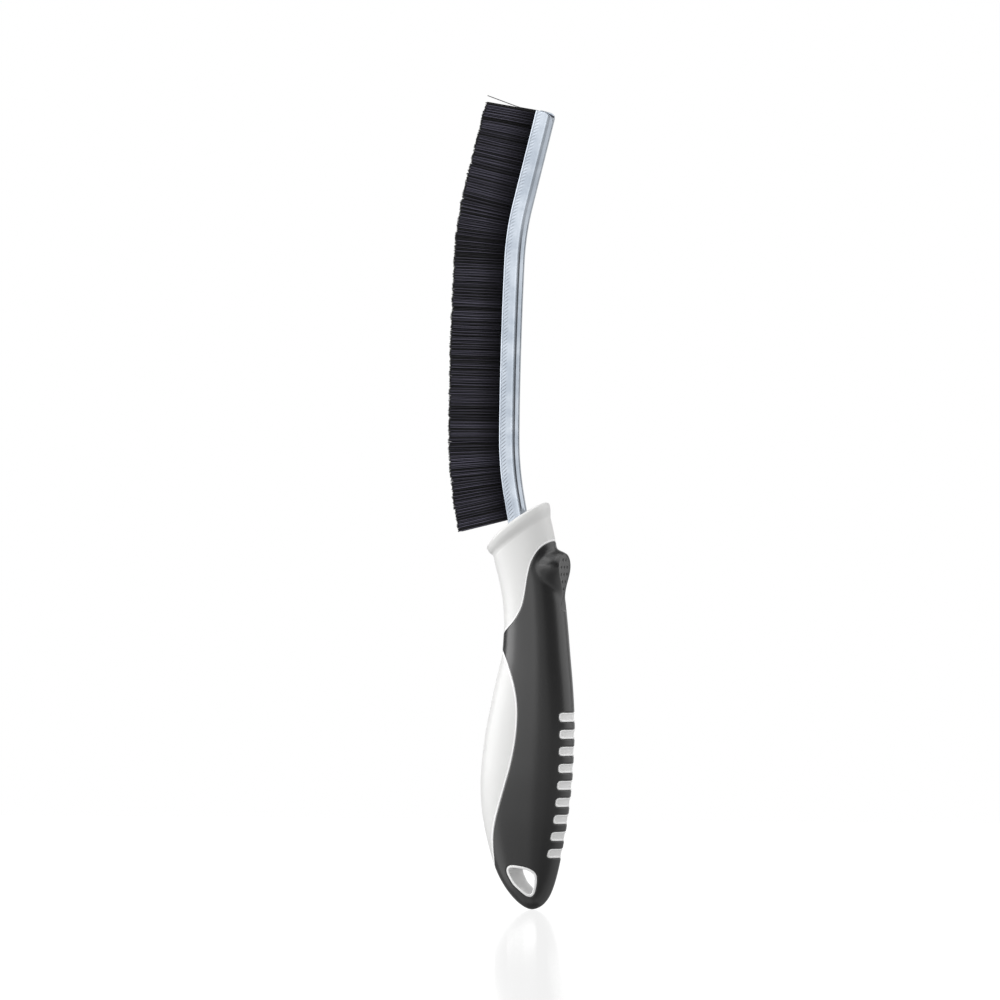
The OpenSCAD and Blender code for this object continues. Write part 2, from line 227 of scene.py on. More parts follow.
def tubes(paths, radius, sides, square_to=(0.0, 1.0, 0.0)):
    """Thin tubes along many paths at once: paths is (count, points, 3). Each ring stands
    square to the local direction d, on the axes a = d x square_to and d x a."""
    d = np.gradient(paths, axis=1)
    d /= norm(d, axis=-1, keepdims=True)
    a = np.cross(d, square_to)
    a /= norm(a, axis=-1, keepdims=True)
    b = np.cross(d, a)
    q = 2 * np.pi * np.arange(sides) / sides
    rings = (
        paths[:, :, None]
        + radius * np.cos(q)[:, None] * a[:, :, None]
        + radius * np.sin(q)[:, None] * b[:, :, None]
    )
    count, n = paths.shape[:2]
    base = (np.arange(count) * n * sides)[:, None, None]
    side = base + grid_faces(n, sides)
    tip = base + (n - 1) * sides + np.arange(sides)
    root = base + np.arange(sides)[::-1]
    faces = [side.reshape(-1, 4), tip.reshape(-1, sides), root.reshape(-1, sides)]
    return rings.reshape(-1, 3), faces


columns = int((FILAMENT_END - FILAMENT_START) / ALONG_PITCH)
i, j = np.meshgrid(np.arange(columns), np.arange(ROWS), indexing="ij")
i, j = i.ravel(), j.ravel()
count = len(i)
# Every other row is set half a pitch further on
along = i + 0.25 + 0.5 * (j % 2) + random.uniform(-PLACE_SCATTER, PLACE_SCATTER, count)
s = np.clip(FILAMENT_START + along * ALONG_PITCH, FILAMENT_START, FILAMENT_END)
y = (j - (ROWS - 1) / 2) * (2 * ROOT_HALF / (ROWS - 1))
y += random.uniform(-ACROSS_SCATTER, ACROSS_SCATTER, count)
lean = filament_lean(s)
lean += LEAN_WANDER * wander(s + LEAN_SKEW * y, LEAN_STEP)
lean += random.normal(0, LEAN_SCATTER, count)
length = TRIM + LENGTH_WANDER * wander(s, LENGTH_STEP)
length += random.normal(0, LENGTH_SCATTER, count)
bow = random.normal(0, BOW_SCATTER, count)

_, _, h = strip_path(s)
h = h + np.radians(lean)
out = np.stack([-np.cos(h), y * FAN / TRIM, np.sin(h)], -1)
sideways = np.stack([np.sin(h), 0 * h, np.cos(h)], -1)
mouth = on_strip(MOUTH_U, y, s)
paths = (
    mouth[:, None] + out[:, None] * (length[:, None] * FILAMENT_RINGS)[..., None]
    + sideways[:, None] * (bow[:, None] * np.sin(np.pi * FILAMENT_RINGS))[..., None]
)
paths[:, 0] = on_strip(MOUTH_U + FOOT_IN, y, s)
points, faces = tubes(paths, FILAMENT_R, FILAMENT_SIDES)

# Painted highlights on the outermost filaments, strongest on every other one, and painted shade on
# those inside
shade = np.where(i % 2 == 0, HIGHLIGHT_EVEN, HIGHLIGHT_ODD) + HIGHLIGHT_WANDER * wander(s, HIGHLIGHT_STEP)
shade += random.normal(0, HIGHLIGHT_SCATTER, count)
shade = np.where((j == 0) | (j == ROWS - 1), np.clip(shade, 0, 1), 0.0)
ring_painted_light = (shade[:, None] * RING_TONES).ravel()

# Extruded nylon, black with a cold cast: the drawn skin is smooth, so each filament has a
# thin sheen along it. The attribute shade carries painted highlights and painted shade, near black
# to grey.
nylon, shader = new_material(
    "black_nylon_filament", Roughness=0.42, IOR=1.53, Specular_IOR_Level=0.28
)
tone = add_node(nylon, "ShaderNodeAttribute", attribute_name="shade")
ramp = add_node(nylon, "ShaderNodeValToRGB", {"Fac": tone.outputs["Fac"]})
ramp.color_ramp.elements[0].color = linear("#020205")
ramp.color_ramp.elements[1].color = linear("#575565")
nylon.node_tree.links.new(ramp.outputs["Color"], shader.inputs["Base Color"])

shades = np.repeat(ring_painted_light, FILAMENT_SIDES)
add_piece("nylon_filaments", points, faces, nylon, "bristles", shades)

# One filament at the very tip has sprung out of the pack, from a third of its length on:
# past STRAY_FROM it moves sideways by the way from there times the tangent of its bend
STRAY_BEND, STRAY_FROM = np.radians(10), 0.36
STRAY_Y, STRAY_PAST, STRAY_DRIFT = -1.2, 0.1, -0.02
STRAY_R, STRAY_SIDES, STRAY_TONE = 0.15, 6, 0.1
part = np.linspace(0, 1, 10)
foot = on_strip(MOUTH_U, STRAY_Y, FILAMENT_END + STRAY_PAST)
_, _, h = strip_path(STRIP_LENGTH)
h = h + np.radians(TIP_LEAN)
stray = foot + TRIM * part[:, None] * [-np.cos(h), STRAY_DRIFT, np.sin(h)]
sprung = TRIM * np.tan(STRAY_BEND) * np.maximum(part - STRAY_FROM, 0)
stray += sprung[:, None] * [np.sin(h), 0, np.cos(h)]
points, faces = tubes(stray[None], STRAY_R, STRAY_SIDES)
shades = np.full(len(points), STRAY_TONE)
add_piece("stray_filament", points, faces, nylon, "bristles", shades, replaces=False)

# Where the channel is open, at heel and tip, the folds show as loops round the wire: growing
# layers, each a half turn and two straight legs. At the tip they follow the strip's rounded
# end, of radius END_R.
END_R = 3.0
FOLD_DEEP = [1.26, 1.34, 1.42, 1.5, 1.55]
FOLD_WIDE = [1.26, 1.5, 1.76, 2.02, 2.25]
FOLD_TURN, FOLD_LEG = 13, 2.4
FOLD_PITCH, FOLD_COUNT = 0.33, 3
FOLD_HEEL, FOLD_TIP, FOLD_SHORT = 0.15, 0.35, 0.2
FOLD_R, FOLD_SIDES, FOLD_TONE = 0.14, 6, 0.5


def end_cut(u):
    """How much shorter the strip is at u than its full length: its back corner at the tip is
    rounded, r - sqrt(r^2 - d^2) at d past the round's start."""
    d = np.clip(u - CHANNEL_DEPTH / 2 + END_R, 0, END_R)
    return END_R - np.sqrt(END_R**2 - d**2)


steps = FOLD_PITCH * np.arange(FOLD_COUNT)
places = np.hstack([FILAMENT_START + FOLD_HEEL + steps, FILAMENT_END - FOLD_TIP - steps])
at_tip = (places > STRIP_LENGTH / 2)[:, None]
q = np.linspace(-np.pi / 2, np.pi / 2, FOLD_TURN)
leg_u = [MOUTH_U, WIRE_U - FOLD_LEG]
layers = []
for deep, wide in zip(FOLD_DEEP, FOLD_WIDE):
    leg_y = np.full(2, min(wide, ROOT_HALF))
    fold_u = np.hstack([leg_u, WIRE_U + deep * np.cos(q), leg_u[::-1]])
    fold_y = np.hstack([-leg_y, wide * np.sin(q), leg_y])
    short = np.where(at_tip, end_cut(fold_u) + FOLD_SHORT, 0)
    layers.append(on_strip(fold_u, fold_y, places[:, None] - short))
_, _, h = strip_path(places)
strip_way = np.stack([np.sin(h), 0 * h, np.cos(h)], -1)
strip_way = np.tile(strip_way, (len(FOLD_DEEP), 1))[:, None]
points, faces = tubes(np.vstack(layers), FOLD_R, FOLD_SIDES, strip_way)
shades = np.full(len(points), FOLD_TONE)
add_piece("filament_folds", points, faces, nylon, "bristles", shades, replaces=False)

# Channel
# Galvanised strip steel, folded to a U round the wire and the filaments, then pressed shut
# by knurled rolls that leave slanting teeth along each lip. It is bent to its bow last.

# The rolls press a band in along each lip, and the teeth cover most of it. Each is given by
# the u at which its two flanks begin and end.
PRESSED_BAND = (-2.62, -2.4), (-0.6, 0.9)
TEETH_BAND = (-2.55, -2.0), (-1.2, 0.0)
PRESSED_IN = 0.14
TOOTH_PITCH, TOOTH_SLANT, TOOTH_DEPTH = 1.27, np.radians(52), 0.065
# The rounded back of the section, from its side to its middle: radius, and the angle of the
# outward normal from square to the side, where the arc starts and stops
BACK_ARCS = [(5.2, 0, 18), (1.3, 18, 58), (4.2, 58, 90)]
LIP_R, LIP_EDGE_R, LIP_IN = 0.8, 0.3, 1.75
# The cut's last rings, as shares of its radius from the end, and the points on each arc of the
# back, on the flat side, round the lip and round its edge
CUT_R, CUT_RINGS = 0.25, np.array([1, 0.7, 0.4, 0.2, 0.07, 0])
BACK_POINTS, SIDE_POINTS, LIP_POINTS, LIP_EDGE_POINTS = 7, 15, 6, 4
ROW_STEP = 0.21
COVERED_TO, COVERED_RINGS = 21.0, 8
SHARP_FROM = np.radians(50)


def ease(x, low, high):
    """0 below low, 1 above high, and the cubic 3 t^2 - 2 t^3 between."""
    t = np.clip((x - low) / (high - low), 0, 1)
    return t * t * (3 - 2 * t)


def banded(u, flanks):
    """1 between the two flanks and 0 outside, eased over each."""
    return ease(u, *flanks[0]) * (1 - ease(u, *flanks[1]))


def arc(cu, cy, r, start, stop, n):
    """n points on an arc about (cu, cy), with angles in degrees from +u towards +y."""
    q = np.radians(np.linspace(start, stop, n))
    return np.stack([cu + r * np.cos(q), cy + r * np.sin(q)], -1)


half, back, front = CHANNEL_WIDTH / 2, CHANNEL_DEPTH / 2, -CHANNEL_DEPTH / 2
corner = [np.zeros((1, 2))]
for r, start, stop in BACK_ARCS:
    turn = np.radians(np.linspace(start, stop, BACK_POINTS))[:, None]
    steps = r * np.hstack([np.sin(turn) - np.sin(turn[0]), np.cos(turn) - np.cos(turn[0])])
    corner.append(corner[-1][-1] + steps[1:])
corner = np.vstack(corner)
corner = corner + [back - corner[-1, 0], half]
flank = np.linspace(corner[0, 0], front + LIP_R, SIDE_POINTS + 2)[1:-1]
outer = np.vstack([
    corner[::-1], np.stack([flank, np.full_like(flank, half)], -1),
    arc(front + LIP_R, half - LIP_R, LIP_R, 90, 180, LIP_POINTS),
])
inward = np.gradient(corner, axis=0) @ [[0, -1], [1, 0]]
inward /= norm(inward, axis=1, keepdims=True)
inner = np.vstack([
    arc(front + LIP_EDGE_R, LIP_IN + LIP_EDGE_R, LIP_EDGE_R, 180, 300, LIP_EDGE_POINTS),
    [[front + WALL, half - LIP_R], [front + LIP_R + 0.1, half - WALL]],
    (corner + WALL * inward)[::2],
])
half_loop = np.vstack([outer, inner])
is_outer = np.arange(len(half_loop)) < len(outer)
loop = np.vstack([half_loop, half_loop[::-1] * [1, -1]])
is_outer = np.hstack([is_outer, is_outer[::-1]])

s = np.hstack([
    np.linspace(0, COVERED_TO, COVERED_RINGS),
    np.arange(COVERED_TO + 0.5, STRIP_LENGTH - CUT_R - 0.15, ROW_STEP),
    STRIP_LENGTH - CUT_R * CUT_RINGS,
])[:, None]
# The sheet's cut edge at the tip is rounded by CUT_R from both of its faces: a point moves
# into the sheet, square to the loop's step (du, dy), by r - sqrt(r^2 - d^2)
step = np.roll(loop, -1, 0) - np.roll(loop, 1, 0)
step /= norm(step, axis=1, keepdims=True)
cut = np.clip((s - STRIP_LENGTH + CUT_R) / CUT_R, 0, 1)
cut = CUT_R * (1 - np.sqrt(1 - cut**2))
u = loop[:, 0] - cut * step[:, 1]
y = loop[:, 1] + cut * step[:, 0]
pressed = np.where(is_outer, banded(u, PRESSED_BAND), 0.0)
toothed = np.where(is_outer, banded(u, TEETH_BAND), 0.0)
tooth = 0.5 + 0.5 * np.cos(2 * np.pi * (s - u / np.tan(TOOTH_SLANT)) / TOOTH_PITCH)
y = y - np.sign(y) * (PRESSED_IN * pressed + TOOTH_DEPTH * toothed * tooth)
s = s - end_cut(u) * ease(s, STRIP_LENGTH - 3 * END_R, STRIP_LENGTH)
rings = on_strip(u, y, s)
n, m = rings.shape[:2]
cap = np.array(tessellate_polygon([[Vector((*p, 0)) for p in loop]]))
ends = [cap, (n - 1) * m + cap[:, ::-1]]

# Galvanised steel, rolled and bright: pale blue-grey, with a soft cloudy bloom in the zinc
# some 6 mm across, and broad mirrored stripes along its bends.
zinc, shader = new_material("rolled_galvanised_steel", Metallic=1.0, Roughness=0.2)
BLOOM = 6.0
place = add_node(zinc, "ShaderNodeTexCoord")
cloud = add_node(
    zinc, "ShaderNodeTexNoise", {"Vector": place.outputs["Object"]},
    Scale=1 / (BLOOM * MM), Detail=3.0,
)
ramp = add_node(zinc, "ShaderNodeValToRGB", {"Fac": cloud.outputs["Fac"]})
ramp.color_ramp.elements[0].position, ramp.color_ramp.elements[1].position = 0.35, 0.65
ramp.color_ramp.elements[0].color = linear("#9DA5AF")
ramp.color_ramp.elements[1].color = linear("#B1B8C1")
zinc.node_tree.links.new(ramp.outputs["Color"], shader.inputs["Base Color"])


def face_outwards(piece):
    """Turns every face of a closed piece outwards."""
    mesh = bmesh.new()
    mesh.from_mesh(piece.data)
    bmesh.ops.recalc_face_normals(mesh, faces=mesh.faces)
    mesh.to_mesh(piece.data)
    mesh.free()


channel = add_piece("crimped_channel", rings, [grid_faces(n, m), *ends], zinc, "brush_channel")
face_outwards(channel)
channel.data.set_sharp_from_angle(angle=SHARP_FROM)

# Handle core
# A one-piece moulding in hard white polypropylene round the strip's tang. It shows as the
# collar with its rolled rim, the belly, the ribs and the lining of the hang hole, and runs
# on 2 mm deep under the soft grip.

# Stations from below the rim to the tail: front edge x, z, back edge x, z, half thickness
STATIONS = np.array([
    [-13.7, 118.7, 6.6, 133.2, 8.8],
    [-12.7, 113.0, 8.15, 127.4, 8.95],
    [-10.85, 106.0, 9.9, 119.4, 9.2],
    [-9.5, 99.0, 11.7, 111.0, 9.5],
    [-9.0, 92.5, 13.0, 102.0, 9.8],
    [-9.2, 86.0, 14.2, 91.0, 10.1],
    [-9.9, 79.2, 15.1, 80.6, 10.4],
    [-12.0, 70.8, 16.0, 70.8, 10.8],
    [-14.0, 62.2, 16.6, 62.2, 11.1],
    [-15.8, 53.6, 16.9, 53.6, 11.3],
    [-17.1, 45.1, 16.6, 45.1, 11.4],
    [-17.9, 36.5, 16.1, 36.5, 11.4],
    [-17.8, 27.9, 15.2, 27.9, 11.1],
    [-16.7, 19.3, 14.0, 19.3, 10.6],
    [-14.7, 10.7, 12.4, 10.7, 9.7],
    [-12.2, 3.0, 10.8, 3.0, 8.5],
    [-9.2, -2.6, 9.2, -2.6, 7.2],
    [-6.1, -6.6, 7.5, -6.6, 5.6],
    [-3.2, -9.3, 5.3, -9.4, 3.7],
    [-0.6, -10.8, 3.0, -10.8, 1.9],
    [1.1, -11.2, 1.1, -11.2, 0.0],
])
LAST = len(STATIONS) - 1
NECK = 1.0
TAIL_STATIONS = 4

# In the side view: where the grip ends below the collar, and the line round the belly
COLLAR_LINE = [
    [15, 122.4], [10.4, 121.0], [6.7, 118.2], [4.1, 113.7], [2.9, 109], [2.2, 104.6],
    [1.6, 100.8], [0.4, 96.6], [-2.4, 92.3], [-6, 89.2], [-9.6, 87], [-14, 85.4],
]
BELLY_LINE = [
    [-14, 82.6], [-9.6, 81.7], [-6.9, 79.3], [-4.3, 74.9], [-2, 69], [-0.7, 62.4],
    [-0.6, 55.6], [-1.4, 48.2], [-3.1, 40.4], [-5.2, 33.7], [-7.5, 27.1], [-9.5, 21.3],
    [-10.9, 16.2], [-11.5, 11.1], [-11.6, 7.4], [-12.2, 4.5], [-14.6, 2.4],
]
RIB_COUNT, RIB_TOP, RIB_PITCH, RIB_HEIGHT = 9, 57.6, 6.08, 3.3
RIB_REACH = (6.5, 5.85)
RIB_SQUARE = 0.6
HOLE_CORNERS = [
    [-4.1, 2.75], [-0.6, 2.45], [2, 1.85], [3.45, 0.9], [3.1, -2], [2.15, -4.75], [-2.28, -0.8],
]
HOLE_R, LINING = 2.1, 0.9
HOLE_POINTS, HOLE_SOFTEN = 400, 12
SKIN = 2.0


def curve(points, t):
    """A smooth curve through the points, at t from 0 to the last one's number: between two
    neighbours the cubic whose slope at each is half the step between the points beside it."""
    p = np.asarray(points, float)
    p = np.vstack([2 * p[0] - p[1], p, 2 * p[-1] - p[-2]])
    t = np.asarray(t, float)
    i = np.clip(np.floor(t).astype(int), 0, len(points) - 2)
    f = (t - i)[..., None]
    a, b, c, d = p[i], p[i + 1], p[i + 2], p[i + 3]
    return 0.5 * (2 * b + (c - a) * f + (2 * a - 5 * b + 4 * c - d) * f**2
                  + (3 * b - a - 3 * c + d) * f**3)


def section(t):
    """The ellipse across the handle at station t: its middle, the direction from front to
    back, its reach along that and its half thickness."""
    s = curve(STATIONS, t)
    middle = (s[..., :2] + s[..., 2:4]) / 2
    span = (s[..., 2:4] - s[..., :2]) / 2
    reach = norm(span, axis=-1)
    return middle, span / np.maximum(reach, 1e-9)[..., None], reach, np.maximum(s[..., 4], 0)


def handle_surface(t, angle, depth):
    """The near half of the handle at station t and angle (0 at the back edge, pi at the
    front): middle + direction * r cos(angle), -b sin(angle), where r and b are the
    ellipse's half axes drawn in by depth. The tail is drawn up by it instead."""
    middle, along, reach, half = section(t)
    lift = depth * np.clip((t - LAST + TAIL_STATIONS) / TAIL_STATIONS, 0, 1)
    r = reach**2 / np.maximum(reach + depth, 1e-9)
    b = half**2 / np.maximum(half + depth, 1e-9)
    xz = middle + along * (r * np.cos(angle))[..., None]
    return np.stack([xz[..., 0], -b * np.sin(angle), xz[..., 1] + lift], -1)


# The skin is unrolled to a plane, u round the handle and v down it, both about in mm
TABLE_POINTS, LINE_POINTS = 3001, 1600
station_table = np.linspace(0, LAST, TABLE_POINTS)
mid_table, along_table, reach_table, _ = section(station_table)
run = np.hypot(np.hypot(*np.diff(mid_table, axis=0).T), np.diff(reach_table))
v_table = np.hstack([0, np.cumsum(run)])
PLANE_R = 12.5
SEAM = PLANE_R * np.pi / 2


def to_plane(t, angle):
    """u = (angle - pi / 2) * PLANE_R, v = the way along the handle's middle line."""
    return np.stack([(angle - np.pi / 2) * PLANE_R, np.interp(t, station_table, v_table)], -1)


def from_plane(uv):
    """The station and the angle of a point in the plane."""
    return (np.interp(uv[..., 1], v_table, station_table),
            np.clip(uv[..., 0] / PLANE_R + np.pi / 2, 0, np.pi))


def stretch(uv, step=0.05):
    """Millimetres on the skin for each unit of u and of v."""
    both = []
    for way in (np.array([step, 0]), np.array([0, step])):
        ahead, behind = (handle_surface(*from_plane(p), 0.0) for p in (uv + way, uv - way))
        both.append(norm(ahead - behind, axis=-1) / (2 * step))
    return both


def side_view(xz):
    """Points of the side view as station and cosine of the angle: the station is the one
    whose line from front to back passes through the point."""
    off = ((xz[:, None, 1] - mid_table[:, 1]) * along_table[:, 0]
           - (xz[:, None, 0] - mid_table[:, 0]) * along_table[:, 1])
    k = np.clip(np.argmax(off > 0, axis=1), 1, len(station_table) - 1)
    n = np.arange(len(xz))
    f = off[n, k - 1] / (off[n, k - 1] - off[n, k])
    t = station_table[k - 1] * (1 - f) + station_table[k] * f
    middle, along, reach, _ = section(t)
    return t, ((xz - middle) * along).sum(-1) / reach


def loop_of(row, closed=True):
    """The row, with its first point again at its end where it closes on itself."""
    return np.concatenate([row, row[:1]]) if closed else row


def even(points, spacing, closed=False):
    """The same line with its points about spacing apart, measured on the skin."""
    points = loop_of(points, closed)
    su, sv = stretch((points[1:] + points[:-1]) / 2)
    steps = np.hypot(np.diff(points[:, 0]) * su, np.diff(points[:, 1]) * sv)
    way = np.hstack([0, np.cumsum(steps)])
    at = np.linspace(0, way[-1], int(np.ceil(way[-1] / spacing)) + 1)
    if closed:
        at = at[:-1]
    return np.stack([np.interp(at, way, points[:, k]) for k in (0, 1)], -1)


def beside(line, distance, closed=False):
    """The line moved to its left by a distance on the skin: the left normal of a step
    (du, dv) is (-dv, du), each part weighed by the skin's stretch. The ends of an open
    line slide along the seam that they lie on."""
    if closed:
        step = np.roll(line, -1, 0) - np.roll(line, 1, 0)
    else:
        step = np.gradient(line, axis=0)
    su, sv = stretch(line)
    a, b = step[:, 0] * su, step[:, 1] * sv
    length = np.hypot(a, b)
    moved = line + distance * np.stack([-b / length / su, a / length / sv], -1)
    if not closed:
        for k in (0, -1):
            moved[k] = line[k] + [0, distance * length[k] / a[k] / sv[k]]
    return moved


EDGE_STEP, HOLE_STEP = 0.32, 0.256


def across_flank(points):
    """A line of the side view, from where it leaves one edge of the handle to where it
    meets an edge again, in the plane."""
    t, c = side_view(curve(points, np.linspace(0, len(points) - 1, LINE_POINTS)))
    inside = np.flatnonzero(np.abs(c) < 1)
    first, last = inside[0] - 1, inside[-1] + 1
    for out, k in ((first, first + 1), (last, last - 1)):
        edge = np.sign(c[k])
        t[out] = t[k] + (edge - c[k]) / (c[out] - c[k]) * (t[out] - t[k])
        c[out] = edge
    t, c = t[first:last + 1], c[first:last + 1]
    return even(to_plane(t, np.arccos(c)), EDGE_STEP)


collar_edge = across_flank(COLLAR_LINE)
belly_edge = across_flank(BELLY_LINE)


def rib_edge(number):
    """The near half of a rib's outline, out from the handle's back edge and back to it: two
    straight sides joined by a squared round end, r |sin q|^n up and r cos(q)^n across."""
    reach = np.interp(number, [0, RIB_COUNT - 1], RIB_REACH)
    r = RIB_HEIGHT / 2
    q = np.radians(np.linspace(-90, 90, 60))
    bar = np.linspace(0, reach - r, 20)
    y = np.hstack([bar, reach - r + r * np.cos(q) ** RIB_SQUARE, bar[::-1]])
    end = np.sign(q) * r * np.abs(np.sin(q)) ** RIB_SQUARE
    z = RIB_TOP - RIB_PITCH * number + np.hstack([0 * bar - r, end, 0 * bar + r])
    t = np.interp(-z, -mid_table[:, 1], station_table)
    return even(to_plane(t, np.arcsin(y / section(t)[3])), EDGE_STEP)


rib_edges = [rib_edge(number) for number in range(RIB_COUNT)]


def hole_edge(inset):
    """The hang hole's outline: arcs about its corners joined by straight lines, and then each
    point made the mean of its neighbours on both sides, twice."""
    corners = np.array(HOLE_CORNERS)
    r = HOLE_R - inset
    before, after = corners - np.roll(corners, 1, 0), np.roll(corners, -1, 0) - corners
    outline = []
    for c, a, b in zip(corners, before, after):
        start, stop = (np.arctan2(d[0], -d[1]) for d in (a, b))
        stop = start - (start - stop) % (2 * np.pi)
        q = np.linspace(start, stop, 40)
        outline.append(c + r * np.stack([np.cos(q), np.sin(q)], -1))
    outline = loop_of(np.vstack(outline))
    way = np.hstack([0, np.cumsum(np.hypot(*np.diff(outline, axis=0).T))])
    at = np.linspace(0, way[-1], HOLE_POINTS, endpoint=False)
    outline = np.stack([np.interp(at, way, outline[:, k]) for k in (0, 1)], -1)
    shifts = range(-HOLE_SOFTEN, HOLE_SOFTEN + 1)
    for _ in range(2):
        outline = np.mean([np.roll(outline, shift, 0) for shift in shifts], axis=0)
    t, c = side_view(outline)
    return even(to_plane(t, np.arccos(c)), HOLE_STEP, closed=True)


lining_edge = hole_edge(0)
bore_edge = hole_edge(LINING)

# Every parting line with the distances, to its left (the grip) and to its right (the core),
# at which lines of points run beside it
NEAR = [0.06, 0.13, 0.22, 0.34, 0.5, 0.75, 1.1]
SHORT = [0.05, 0.11, 0.19, 0.28]
edge_sets = [(line, False, NEAR, NEAR) for line in (collar_edge, belly_edge, *rib_edges)]
edge_sets += [(lining_edge, True, NEAR, SHORT), (bore_edge, True, SHORT, [])]

SKIN_STEP, HIDDEN_STEP, FINE_STEP, LATTICE_ROW = 0.7, 2.2, 0.2, 0.87
FINE_TO = 7
# How clear a lattice stays of the rows of points and, deep down, of the edges, in its own
# steps, and the fine one of the rows, in mm
CLEAR_OF_ROWS, CLEAR_OF_EDGES, FINE_CLEAR = 0.4, 0.5, 0.15
THUMB_ANGLE, THUMB_TOP, THUMB_BOTTOM = 1.5, 119.4, 96.0


def unrolled_breadth(v):
    """Half the way round the handle at v, over pi: Ramanujan's rule for an ellipse."""
    t = np.interp(v, v_table, station_table)
    _, _, a, b = section(t)
    return (3 * (a + b) - np.sqrt(np.maximum((3 * a + b) * (a + 3 * b), 0))) / 2


def lattice(step, v_to):
    """Points about step apart on the skin, from the neck to v_to, in staggered rows LATTICE_ROW
    steps apart, so that the triangles come out about equal sided."""
    rows = np.linspace(v_neck, v_to, int((v_to - v_neck) / (step * LATTICE_ROW)) + 1)
    found = []
    for k, v in enumerate(rows):
        n = max(2, int(round(np.pi * unrolled_breadth(v) / step)))
        u = -SEAM + 2 * SEAM * (np.arange(n) + 0.5 * (k % 2)) / n
        u = np.hstack([u[u > -SEAM + 1e-6], [-SEAM, SEAM]])
        found.append(np.stack([u, np.full_like(u, v)], -1))
    return np.vstack(found)


def clear_of(points, lines, gap):
    """Which points lie further than gap, on the skin, from every point of the lines."""
    keep = np.ones(len(points), bool)
    flat, *flat_lines = [
        np.stack([p[:, 0] * unrolled_breadth(p[:, 1]) / PLANE_R, p[:, 1]], -1)
        for p in (points, *lines)
    ]
    for at in flat_lines:
        near = np.flatnonzero(
            (flat > at.min(0) - gap).all(1) & (flat < at.max(0) + gap).all(1) & keep
        )
        if len(near):
            d = norm(flat[near, None] - at[None], axis=-1).min(1)
            keep[near[d < gap]] = False
    return keep


v_neck = np.interp(NECK, station_table, v_table)
RIM_COLUMNS = 56
rim_row = np.linspace(-SEAM, SEAM, RIM_COLUMNS + 1)
rim_row = np.stack([rim_row, np.full_like(rim_row, v_neck)], -1)


def build_skin(step, rows):
    """The unrolled skin: its points, its triangles, their region (0 grip, 1 core, 2 hole) and
    where each parting line's points are among the points."""
    grid = lattice(step, v_table[-1])
    grid = grid[grid[:, 1] > v_neck + CLEAR_OF_ROWS * step]
    if rows:
        grid = grid[clear_of(grid, edge_lines, NEAR[-1] + CLEAR_OF_ROWS * step)]
        fine = lattice(FINE_STEP, np.interp(FINE_TO, station_table, v_table))
        fine = fine[in_thumb_zone(fine) & clear_of(fine, edge_lines, NEAR[-1] + FINE_CLEAR)]
        parts = [grid[~in_thumb_zone(grid)], fine]
        for line, closed, left, right in edge_sets:
            parts += [beside(line, d, closed) for d in left]
            parts += [beside(line, -d, closed) for d in right]
    else:
        parts = [grid[clear_of(grid, edge_lines, CLEAR_OF_EDGES * step)]]
    parts += [rim_row, *edge_lines]
    counts = np.cumsum([len(p) for p in parts])
    rim, *lines = np.split(np.arange(counts[-1]), counts[:-1])[-len(edge_lines) - 1:]
    outlines = [np.hstack([rim, lines[0][::-1]]), *[line[::-1] for line in lines[1:]]]
    outlines = [outline.tolist() for outline in outlines]
    found = delaunay_2d_cdt(np.vstack(parts).tolist(), [], outlines, 0, 1e-7)
    place = np.zeros(counts[-1], int)
    place[np.hstack(found[3])] = np.repeat(
        np.arange(len(found[3])), [len(old) for old in found[3]]
    )
    region = np.array([len(f) for f in found[5]])
    return np.array(found[0]), np.array(found[2]), region, [place[line] for line in lines]


def in_thumb_zone(uv):
    """Which points lie under and around the thumb rest."""
    t, angle = from_plane(uv)
    z = handle_surface(t, angle, 0.0)[:, 2]
    return (angle < THUMB_ANGLE) & (z < THUMB_TOP) & (z > THUMB_BOTTOM)


edge_lines = [e[0] for e in edge_sets]
HOLE_LINE = len(edge_lines) - 1
skin_uv, skin_tris, skin_region, skin_lines = build_skin(SKIN_STEP, True)
deep_uv, deep_tris, deep_region, deep_lines = build_skin(HIDDEN_STEP, False)


GAP_LIMIT = 2.0


def gap_to(uv, line, closed):
    """Distance on the skin from each point to the line's nearest segment; no further than
    the limit is looked for."""
    found = np.full(len(uv), GAP_LIMIT)
    line = loop_of(line, closed)
    a, b = line[:-1], line[1:]
    low, high = line.min(0) - 3 * GAP_LIMIT, line.max(0) + 3 * GAP_LIMIT
    near = np.flatnonzero(((uv > low) & (uv < high)).all(1))
    if len(near):
        scale = np.stack(stretch(uv[near]), -1)[:, None]
        to_a, step = (a[None] - uv[near, None]) * scale, (b - a)[None] * scale
        f = np.clip(-(to_a * step).sum(-1) / (step**2).sum(-1), 0, 1)
        found[near] = np.minimum(GAP_LIMIT, norm(to_a + f[..., None] * step, axis=-1).min(1))
    return found


def rounded(gap, r):
    """Depth below the skin of an edge rounded to radius r, at a distance from the edge."""
    d = np.minimum(gap, r)
    return r - np.sqrt(r**2 - (r - d) ** 2)


gaps = np.array([gap_to(skin_uv, line, closed) for line, closed, _, _ in edge_sets])
part_gap = gaps[:HOLE_LINE].min(0)
bore_gap = gaps[HOLE_LINE]
rib_gap = gaps[2:2 + RIB_COUNT].min(0)

WHITE_EDGE_R = 0.3
BORE_EDGE_R = 0.35
RIB_SINK, RIB_BORDER, OFF_BELT = 0.3, (0.38, 0.6), 1.9

